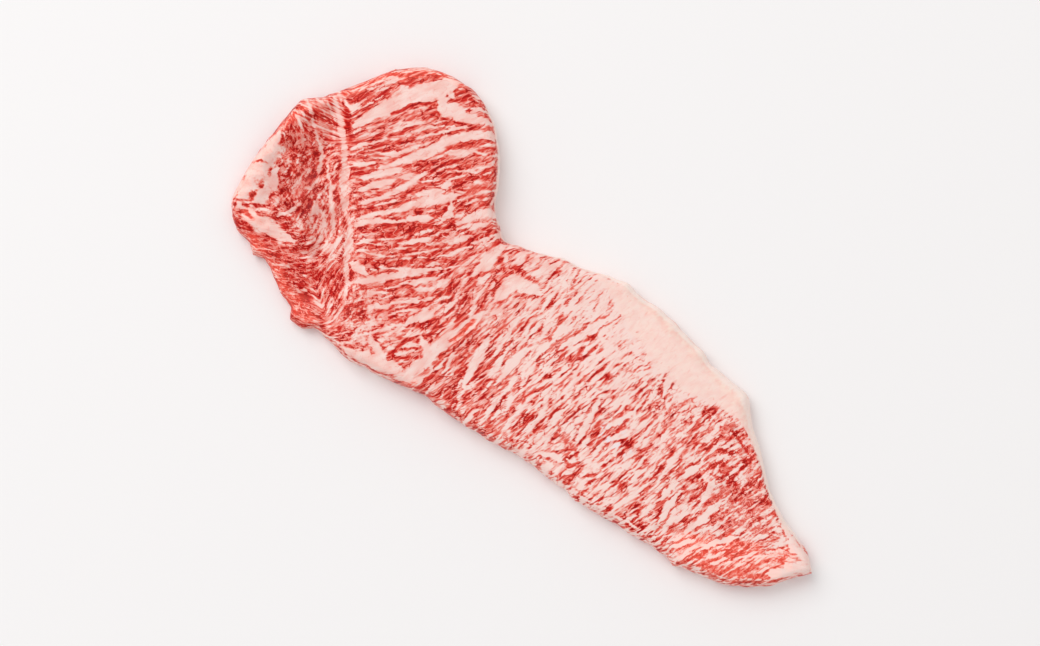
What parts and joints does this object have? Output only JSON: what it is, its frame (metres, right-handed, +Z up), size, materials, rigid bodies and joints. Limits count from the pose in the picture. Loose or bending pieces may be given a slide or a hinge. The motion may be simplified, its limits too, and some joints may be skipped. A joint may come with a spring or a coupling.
{
  "type": "raw sirloin steak",
  "caption": "Raw, heavily marbled sirloin steak lying flat: a broad head muscle with a side flap, a fat band across the neck and a long tapering tail with a fat cap.",
  "frame": {"origin": "middle of the bounding box on the plane that the steak rests on", "axes": "+X from the side flap towards the tail end, +Y from the tail towards the head muscle, +Z up out of the cut face that shows"},
  "size_m": [0.2212, 0.1984, 0.0136],
  "materials": {
    "meat": "moist raw beef, pale pink fat islands between thin red lean ribbons, cream fat cap"
  },
  "bodies": {
    "root": {"steak": "meat"}
  },
  "joints": []
}
